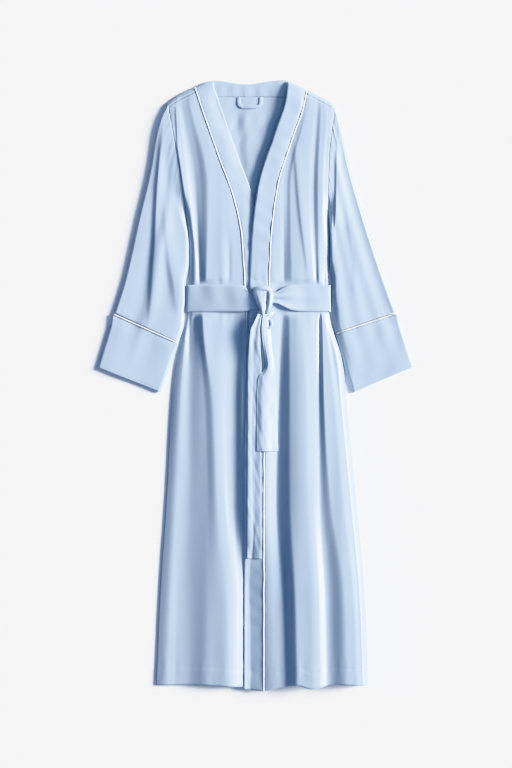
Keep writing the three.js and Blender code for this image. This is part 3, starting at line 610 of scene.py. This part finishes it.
for name, front in (("piping_front_left", LEFT), ("piping_front_right", RIGHT)):
    height = lambda x, y, front=front: front_height(front, x, y) - 0.5
    wander = lambda y, front=front: 0.25 * soft_waves(y, y * 0, front["seed"] + 7, 60, 0.1)
    middle = lambda y, share, front=front: front["seam"](y) + wander(y)
    path = panel(420, 1, middle, front["hem"], lambda x: shoulder_edge(x) - 2.0, height)[:, 0]
    piece = cloth(name, [cord_grid(path, PIPING_RADIUS)], [name], shell=0, around=True)
    piece.data.materials.append(piping_satin)


# Sleeves
# Each is a straight tube of the same satin, sewn to the armhole and laid flat beside the body. Its
# two long folds are pressed by hand, and soft folds run from the armhole down to the cuff.
SLEEVES = {
    "right": dict(
        front=RIGHT, top_y=598.0, seed=41, flat=(0.31, 0.46), area=0.092,
        outer=line((151, -304), (228, -280), (362, -250), (462, -227), (526, -216), (569, -203.5), (598, -189)),
        seam_y=(151, 88), cuff_edge=((-338, 38), (-201.5, -16)),
        folds=(
            # share of the way from the outer fold to the inner, then height at armhole, elbow and cuff seam
            (0.15, 8.4, 7.6, 7), (0.34, 9, 7, 6.4), (0.5, 9.4, 9, 8), (0.7, 9.4, 9, 8.4), (0.88, 9, 9, 8)),
        creases=(
            ((120, -226, 0, 20, 6), (190, -221, 2.4, 22, 6), (256, -217, 3.8, 22, 6), (309, -213, 4.2, 22, 6),
             (362, -211, 4.2, 20, 6), (416, -208, 4, 18, 6), (469, -204, 3.2, 15, 5), (522, -198, 2, 12, 5),
             (560, -192, 0, 10, 5)),
            ((150, -162, 0, 20, 10), (181, -168, 1.6, 22, 10), (224, -174, 2.8, 22, 10),
             (256, -180, 2.8, 22, 10), (309, -185, 2.2, 20, 9), (362, -190, 1.3, 18, 9),
             (420, -194, 0, 16, 8)),
            ((556, -190, 0, 2, 2), (580, -190.6, -1.8, 2, 2.4), (596, -190.6, -1.4, 2, 2)),
            ((540, -182, 0, 2.2, 2.2), (566, -183, -2, 2.4, 2.4), (592, -183.6, -1.6, 2, 2)))),
    "left": dict(
        front=LEFT, top_y=588.0, seed=57, flat=(0.28, 0.46), area=0.071,
        outer=line((153, 301.5), (228, 274), (362, 231), (484, 199), (526, 191), (569, 180), (598, 174)),
        seam_y=(153, 109), cuff_edge=((338, 40), (206.5, -17)),
        folds=(
            (0.15, 6.6, 6.4, 6.2), (0.32, 8.2, 7.8, 7.6), (0.5, 9.6, 9.2, 8.8), (0.7, 10.8, 10.6, 10),
            (0.88, 11, 11.6, 10.8)),
        creases=(
            ((180, 216, 0, 24, 9), (217, 214, 1.2, 26, 9), (256, 213, 1.4, 26, 9), (309, 204, 1.3, 24, 8),
             (362, 198, 1, 20, 8), (430, 194, 0, 18, 8)),
            ((516, 173.5, 0, 2, 2), (548, 173.5, -1.6, 2, 2.2), (572, 173, 0, 2, 2)),
            ((510, 163, 0, 2, 2), (540, 163, -1.4, 2, 2), (566, 163.6, 0, 2, 2)))),
}
SLEEVE_CLEAR, BELT_CLEAR = 0.6, 8.0
TUBE_EDGE, TUBE_ROLL, TUBE_SIDE_TOP = 3.0, 0.05, 7.0
CUFF_DEPTH = 112.0
# Rough lengths in mm of the armhole seam, the sleeve and the cuff seam, for the puckers beside the seams
ARMHOLE_SPAN, SLEEVE_SPAN, CUFF_SPAN = 250.0, 230.0, 140.0


def tube_grid(plan, height, shares, hand, top_points=104, floor_points=24):
    """Rings of a flattened tube: over the top from the inner fold to the outer, and back on the floor.
    Both halves meet at the folds, half way up, on a quarter of a sine."""
    t = np.linspace(0, 1, top_points)
    top = 1 - (t - 0.55 * np.sin(2 * np.pi * t) / (2 * np.pi))
    under = np.linspace(0.02, 0.98, floor_points)
    rings = []
    for v in shares:
        width = blend(0.3, 1.0, float(smooth(0, 0.25, v))) * TUBE_ROLL
        for u, above in ((top, True), (under, False)):
            x, y = plan(v, u)
            roll = np.sin(np.pi / 2 * np.clip(np.minimum(u, 1 - u) / width, 0, 1))
            z = blend(TUBE_EDGE, height(v, u, x, y), roll) if above else TUBE_EDGE * (1 - roll) + 0.05
            rings.append(np.stack([x, y, z + np.zeros_like(x)], -1))
    rings = np.array([np.concatenate(rings[k:k + 2]) for k in range(0, len(rings), 2)])
    return rings[:, ::-1] if hand > 0 else rings


def sleeve_shape(sleeve):
    """The plan and height of a sleeve and of its cuff, for a share v along and a share u across."""
    front, hand, outer = sleeve["front"], sleeve["front"]["hand"], sleeve["outer"]
    outer_seam, inner_seam = sleeve["seam_y"]
    top_y, seed, folds = sleeve["top_y"], sleeve["seed"], sleeve["folds"]
    clear = lambda y: blend(BELT_CLEAR, SLEEVE_CLEAR, smooth(belt_half, belt_half + 45, from_waist(y)))
    body = lambda y: front["side"](y) + hand * clear(y)

    def plan(v, u):
        outer_y, inner_y = blend(top_y, outer_seam, v), blend(UNDERARM_Y, inner_seam, v)
        bow = body(blend(top_y, UNDERARM_Y, u)) - blend(outer(top_y), body(UNDERARM_Y), u)
        y = blend(outer_y, inner_y, u)
        x = blend(outer(outer_y), body(inner_y), u) + bow * (1 - v) ** 2
        return hand * np.maximum(hand * x, hand * body(y)), y

    def height(v, u, x, y):
        knots = [0.0] + [row[0] for row in folds] + [1.0]
        crests = [float(through((0, 0.5, 1), row[1:], v)) for row in folds]
        own = through(knots, [TUBE_SIDE_TOP] + crests + [TUBE_SIDE_TOP], u)
        own = own + 0.4 * soft_waves(u * 220, v * 60, seed, 60, 0.3) * smooth(0, 0.15, v)
        own = own + creases(x, y, sleeve["creases"])
        tucks = 0.32 * soft_waves(u * ARMHOLE_SPAN, v * 40, seed + 1, 22, 0.2)
        tucks = tucks * math.exp(-v / 0.07) * smooth(0, 0.02, v)
        armhole_seam = seam_dip(v * SLEEVE_SPAN + 0 * u, u * ARMHOLE_SPAN, seed + 2)
        cuff_seam = seam_dip((1 - v) * SLEEVE_SPAN + 0 * u, u * CUFF_SPAN, seed + 3)
        side_x = front["side"](y) - hand * 0.5
        body_edge = front_height(front, side_x, y) - creases(side_x, y, front["armhole"])
        joined = blend(body_edge, own, smooth(0.0, 0.2, v))
        return joined + creases(x, y, front["armhole"]) + tucks - (armhole_seam + cuff_seam)

    outer_edge, inner_edge = sleeve["cuff_edge"]

    def cuff_plan(w, u):
        seam_x, seam_y = plan(1.0, np.array([0.0, 1.0]))
        x = blend(blend(*seam_x, u), blend(outer_edge[0], inner_edge[0], u), w)
        y = blend(blend(*seam_y, u), blend(outer_edge[1], inner_edge[1], u), w)
        return x, y

    def cuff_height(w, u, x, y):
        at_seam = height(1.0, u, x, y) + seam_dip(0 * u, u * CUFF_SPAN, seed + 3)
        at_edge = 6.6 + 0.8 * np.sin(2 * np.pi * u)
        soft = 0.5 * soft_waves(u * 145, w * 90, seed + 4, 70, 0.8) * smooth(0, 0.2, w)
        seam = seam_dip(w * CUFF_DEPTH + 0 * u, u * CUFF_SPAN, seed + 5)
        edge = 0.35 * math.exp(-(((1 - w) * CUFF_DEPTH - 2.5) / 1.2) ** 2)
        return blend(at_seam, at_edge, smooth(0, 1, w)) + soft - seam - edge
    return plan, height, cuff_plan, cuff_height


for side, sleeve in SLEEVES.items():
    hand = sleeve["front"]["hand"]
    plan, height, cuff_plan, cuff_height = sleeve_shape(sleeve)
    shares = np.concatenate([[0.0, 0.004], np.linspace(0.012, 0.992, 138)])
    grid = tube_grid(plan, height, shares, hand)
    piece = cloth(f"sleeve_{side}", [grid], [f"sleeve_{side}"], around=True)
    piece.data.materials.append(satin)
    grid = tube_grid(cuff_plan, cuff_height, np.linspace(0.016, 1.0, 44), hand)
    piece = cloth(f"cuff_{side}", [grid], [f"cuff_{side}"], shell=DOUBLED, around=True)
    piece.data.materials.append(satin)
    inset = lambda v, u: cuff_plan(0.0, blend(0.012, 0.988, u))
    ring = tube_grid(inset, lambda v, u, x, y: height(1.0, u, x, y) + 0.6, [0.0], hand)[0]
    ring[:, 2] = np.maximum(PIPING_RADIUS + 0.2, ring[:, 2])
    piece = cloth(f"piping_cuff_{side}", [cord_grid(ring, PIPING_RADIUS, ring=True)],
                  [f"piping_cuff_{side}"], shell=0, around=True)
    piece.data.materials.append(piping_satin)


# Hanger loop
# A narrow strip of satin, turned and pressed flat, whose ends are caught in the neck seam.
LOOP_RIGHT, LOOP_LEFT, LOOP_DROP, LOOP_WIDTH = -36.0, 11.0, 21.0, 7.5
corner = 10.0
turn = np.linspace(0, 1, 14)[:, None]
quarter = lambda cx, cy, start: np.concatenate(
    [cx + corner * np.cos(start + turn * np.pi / 2), cy + corner * np.sin(start + turn * np.pi / 2)], 1)
straight = lambda a, b: blend(np.array(a), np.array(b), np.linspace(0, 1, 16)[1:-1, None])
bar_y = NECK_SEAM_Y - LOOP_DROP
loop_path = np.concatenate([
    straight((LOOP_RIGHT, NECK_SEAM_Y), (LOOP_RIGHT, bar_y + corner)),
    quarter(LOOP_RIGHT + corner, bar_y + corner, np.pi),
    straight((LOOP_RIGHT + corner, bar_y), (LOOP_LEFT - corner, bar_y)),
    quarter(LOOP_LEFT - corner, bar_y + corner, -np.pi / 2),
    straight((LOOP_LEFT, bar_y + corner), (LOOP_LEFT, NECK_SEAM_Y))])
ahead = np.gradient(loop_path, axis=0)
ahead /= np.linalg.norm(ahead, axis=1, keepdims=True)
sideways = np.stack([-ahead[:, 1], ahead[:, 0]], -1)
span = np.linspace(0.5, -0.5, 9)
flat_loop = loop_path[:, None] + LOOP_WIDTH * span[None, :, None] * sideways[:, None]
arch = 0.5 * (1 - (2 * span) ** 2)[None, :]
loop_z = back_height(flat_loop[..., 0], flat_loop[..., 1]) + 1.1 + arch
loop_z = loop_z + 0.5 * smooth(NECK_SEAM_Y - 4, bar_y, flat_loop[..., 1])
loop_grid = np.concatenate([flat_loop, loop_z[..., None]], -1)
hanger = cloth("hanger_loop", [loop_grid], ["hanger_loop"], shell=0.8)
hanger.data.materials.append(satin)


# Belt round the waist
# A doubled strip of the same satin with pressed folds for edges, drawn round the waist and tied in
# front. Behind, it lies flat on the floor under the back. Beside the knot it narrows and gathers into
# pleats that fan from the knot.
BELT_RIGHT_X, BELT_LEFT_X = -142.5, 155.5
KNOT_RIGHT_X, KNOT_MIDDLE_X, KNOT_LEFT_X = -10.0, 14.0, 43.0
beside_right = lambda x: np.clip(KNOT_RIGHT_X - x, 0, None)
beside_left = lambda x: np.clip(x - KNOT_LEFT_X, 0, None)


def belt_edges(x):
    """The upper and lower edges, in mm of y. Both draw in towards the knot."""
    on_right, right, left = x < KNOT_MIDDLE_X, beside_right(x), beside_left(x)
    lowered = np.where(on_right, 20 * np.exp(-(right / 9) ** 1.4), 15 * np.exp(-(left / 17) ** 1.6))
    raised = np.where(on_right, 3 * np.exp(-(right / 9) ** 1.4), 18 * np.exp(-(left / 24) ** 1.5))
    return WAIST_Y + belt_half - lowered, WAIST_Y - belt_half + raised


def belt_top(x):
    over_left = OVERLAP_LIFT * smooth(-125, -26, x) * (1 - smooth(60, 110, x))
    return waist_dome(x) + over_left + 1.1 + BELT_WALL


belt_x = np.linspace(BELT_RIGHT_X, BELT_LEFT_X, 300)
over_x, over_z = [belt_x], [belt_top(belt_x)]
turn = np.linspace(0, 1, 16)[1:-1]
for end, way in ((BELT_LEFT_X, 1), (BELT_RIGHT_X, -1)):
    edge_z = belt_top(np.array([end]))[0]
    turn_x = end + way * 4.5 * np.sin(np.pi * turn)
    turn_z = edge_z * (1 + np.cos(np.pi * turn)) / 2
    if way > 0:
        over_x += [turn_x, np.linspace(BELT_LEFT_X, BELT_RIGHT_X, 60)]
        over_z += [turn_z, np.full(60, 0.05)]
    else:
        over_x.append(turn_x[::-1])
        over_z.append(turn_z[::-1])
over_x, over_z = np.concatenate(over_x), np.concatenate(over_z)
on_top = (np.arange(over_x.size) < belt_x.size) * 1.0
head, foot = belt_edges(over_x)
head, foot = blend(WAIST_Y + belt_half, head, on_top), blend(WAIST_Y - belt_half, foot, on_top)
share = np.linspace(0, 1, 46)[:, None]
y = blend(foot, head, share)
x = over_x + 0 * y
on_right = x < KNOT_MIDDLE_X
fan = np.exp(-np.where(on_right, beside_right(x) / 26, beside_left(x) / 34))
pleats = np.where(on_right, 1.2 * np.sin(5.4 * share - 1.2), 2.6 * np.sin(11 * share + 1.1)) * fan
edge_roll = 1.4 * (1 - np.sin(np.pi / 2 * np.clip(np.minimum(share, 1 - share) * 12, 0, 1)))
soft = 0.35 * soft_waves(x * 0.6, y, 71, 38, 0.4)
z = over_z + on_top * (pleats + soft - edge_roll + 1.2 * fan)
belt = cloth("belt_waist", [np.stack([x, y, z], -1)], ["belt_waist"], shell=DOUBLED, around=True)
belt.data.materials.append(satin)


# Belt ends
# The long end lies on the left front, half folded along its length, and the short end lies over it
# and opens out nearly flat. Both leave the knot gathered.
LONG_END_Y, SHORT_END_Y, TAIL_TOP_Y = -369.0, -141.0, 150.0
long_right = line((LONG_END_Y, -18), (-140, -17), (40, -16.5), (85, -14), (117, -10.5), (130, -5), (150, 5))
long_left = line((LONG_END_Y, 12), (-140, 11), (40, 12), (85, 10), (117, 12), (150, 15))
short_right = line((SHORT_END_Y, 2), (-30, 2), (8, 4.4), (18, 7), (26, 13), (34, 19.5), (46, 21.5),
                   (64, 19.5), (85, 16), (115, 13), (150, 16))
short_left = line((SHORT_END_Y, 48), (11, 41.5), (40, 41), (60, 38), (82, 34), (117, 33), (150, 30))


def tail_grid(rows, columns, end_y, right, left, height):
    """A grid of a belt end, from its edge up to the knot, between its right and left edges."""
    up, across = share_grid(rows, columns)
    y = blend(end_y, TAIL_TOP_Y, up)
    x = blend(right(y), left(y), across)
    return np.stack([x, y, height(x, y, across)], -1)


def long_tail_height(x, y, across):
    base = front_height(LEFT, x, y) + 2.2
    lifted = blend(0.4 + 2.6 * across**0.6, 1.8 * (1 - across), smooth(60, 120, y)) * smooth(-369, -330, y)
    groove = 0.7 * np.exp(-((across - 0.36 - 0.05 * np.sin(y / 60)) / 0.1) ** 2) * smooth(60, -60, y)
    gathered = 1.0 * smooth(20, 140, y) * np.sin(9 * across + 0.8)
    climb = 10.0 * smooth(40, 130, y)
    return base + lifted - groove + gathered + climb + 0.25 * soft_waves(x, y, 81, 18, 0.4)


def short_tail_height(x, y, across):
    under = blend(long_tail_height(x, y, 0.8), front_height(LEFT, x, y) + 2.0, smooth(6, 36, x))
    gathered = 1.0 * smooth(30, 140, y) * np.sin(8 * across + 2.4)
    lifted = (1.7 + 1.7 * smooth(-20, 50, y)) * (0.4 + 0.6 * smooth(0.0, 0.3, across))
    bow = 1.2 * np.sin(np.pi * across)
    climb = 1.5 * smooth(60, 140, y)
    return under + lifted + bow + gathered + climb + 0.3 * soft_waves(x, y, 83, 24, 0.5)


long_grid = tail_grid(180, 34, LONG_END_Y, long_right, long_left, long_tail_height)
short_grid = tail_grid(130, 44, SHORT_END_Y, short_right, short_left, short_tail_height)
for name, grid, flat, area in (
        ("belt_tail_long", long_grid, (0.034, 0.53), 0.0145),
        ("belt_tail_short", short_grid, (0.05, 0.30), 0.0098)):
    piece = cloth(name, [grid], [name], shell=DOUBLED)
    piece.data.materials.append(satin)


# Knot
# The belt's turns pass over and under each other. Each is drawn as a gathered strip: a tube along a
# path, flattened to its own width and height, with pleats along it.
KNOT_TURNS = {
    # name: phase of its pleats, then rows of x, y, z of the middle, and the width and height there
    "head": (91, (
        (-6, 197, 20, 8, 6), (0, 202.5, 22, 11, 8), (13, 205, 23.5, 12, 9), (27, 202, 22.5, 12, 8),
        (34, 194, 20, 10, 6))),
    "wrap": (92, (
        (8, 204, 20.5, 26, 6), (9, 196, 22.4, 30, 8), (11, 180, 24.6, 23, 9), (14.5, 160, 25, 13.5, 9),
        (15.3, 146, 23, 7, 7), (15.3, 139, 20.5, 4, 5))),
    "side": (93, (
        (27, 203, 21.5, 12, 7), (31, 190, 24.5, 13, 9), (29.5, 175, 25.5, 12, 9), (26.5, 160, 25, 10, 8),
        (22, 148, 23, 8, 7))),
    "coil": (94, (
        (39, 156, 18.5, 9, 6), (30, 149, 21.5, 10, 7), (19, 139, 23.5, 9, 8), (17, 128, 23.5, 9, 8),
        (25, 120.5, 23, 9, 8), (33.5, 126, 23, 9, 8), (33, 136, 23.5, 8, 7), (25, 135, 24.5, 8, 7))),
}
turns = []
for phase, rows in KNOT_TURNS.values():
    table = np.array(rows, float)
    steps = np.linspace(0, 1, len(rows))
    fine = np.linspace(0, 1, 54)
    middle = np.stack([through(steps, table[:, k], fine) for k in range(3)], -1)
    wide, high = through(steps, table[:, 3], fine), through(steps, table[:, 4], fine)
    closing = np.sqrt(np.clip(np.minimum(fine, 1 - fine) * 9, 0.02, 1))[:, None]
    along = np.gradient(middle, axis=0)
    along[:, 2] = 0
    along /= np.linalg.norm(along, axis=1, keepdims=True)
    across = np.stack([-along[:, 1], along[:, 0], 0 * along[:, 0]], -1)
    theta = np.linspace(0, 2 * np.pi, 40, endpoint=False)[None]
    pleat = 1 + 0.05 * np.sin(5 * theta + 4 * fine[:, None] + phase)
    pleat = pleat + 0.02 * np.sin(11 * theta - 3 * fine[:, None])
    ring = middle[:, None] + across[:, None] * (closing * wide[:, None] / 2 * pleat * np.cos(theta))[..., None]
    ring[..., 2] += closing * high[:, None] / 2 * pleat * np.sin(theta)
    turns.append(ring[:, ::-1])
knot = cloth("belt_knot", turns, ["belt_knot"], shell=0, around=True)
knot.data.materials.append(satin)


# Stitching
# The hems and the short end of the belt are sewn with thread, drawn darker than the satin as painted
# shade along the stitched lines. Each stitch is a short thread, sunk to half its thickness in the cloth.
STITCH_PITCH, STITCH_LENGTH, THREAD_RADIUS = 4.2, 3.2, 0.36
HEM_CLEAR = 16.0
SHORT_END_ROWS = (4.0, 7.0)


def stitch_thread_painted_shade():
    """Spun polyester sewing thread: dull, with a fine grain from its twist. Its blues are darker than the
    satin: painted shade along the stitched lines.
    """
    made, tree, out = new_material("stitch_thread_painted_shade")
    where = node(tree, "ShaderNodeTexCoord")
    twist = node(tree, "ShaderNodeTexNoise", {"Vector": where.outputs["Object"], "Scale": 900.0, "Detail": 1.0})
    hue = node(tree, "ShaderNodeMix", data_type="RGBA")
    tree.links.new(twist.outputs["Fac"], hue.inputs["Factor"])
    # Both blues are darker than the satin: painted shade for the stitched lines, mixed by the twist's grain.
    hue.inputs[6].default_value, hue.inputs[7].default_value = linear("6F8FB8"), linear("8FABCE")
    relief = node(tree, "ShaderNodeBump",
                  {"Height": twist.outputs["Fac"], "Distance": 0.00008, "Strength": 0.6})
    shader = node(tree, "ShaderNodeBsdfPrincipled",
                  {"Base Color": hue.outputs[2], "Roughness": 0.55, "Normal": relief.outputs[0],
                   "Sheen Weight": 0.2})
    tree.links.new(shader.outputs[0], out.inputs["Surface"])
    return made


def stitches(line_x, line_y, height):
    """Threads along a line on the cloth: one every pitch, each a tube that tapers at both ends."""
    along = np.concatenate([[0.0], np.hypot(np.diff(line_x), np.diff(line_y)).cumsum()])
    starts = np.arange(0.0, along[-1] - STITCH_LENGTH, STITCH_PITCH)
    taper = np.array([0.2, 0.9, 1.0, 0.9, 0.2])[:, None, None] * THREAD_RADIUS
    made = []
    for start in starts:
        at = start + np.linspace(0.0, STITCH_LENGTH, 5)
        x, y = np.interp(at, along, line_x), np.interp(at, along, line_y)
        made.append(cord_grid(np.stack([x, y, height(x, y)], -1), taper, sides=6))
    return made


def short_end(x, y):
    """Height of the belt's short end at a place on it."""
    across = (x - short_right(y)) / (short_left(y) - short_right(y))
    return short_tail_height(x, y, across)


right_x = np.linspace(side_right(-600.0) + HEM_CLEAR, -30.0, 200)
left_x = np.linspace(-20.0, side_left(-600.0) - HEM_CLEAR, 240)
end_x = np.linspace(4.0, 46.0, 40)
threads = (
    stitches(right_x, hem_right(right_x) + HEM_DEPTH, front_panel_height(RIGHT))
    + stitches(left_x, hem_left(left_x) + HEM_DEPTH, front_panel_height(LEFT)))
for row in SHORT_END_ROWS:
    threads += stitches(end_x, SHORT_END_Y + row + 0 * end_x, short_end)
sewing = cloth("sewing_thread", threads, [], shell=0, around=True)
sewing.data.materials.append(stitch_thread_painted_shade())
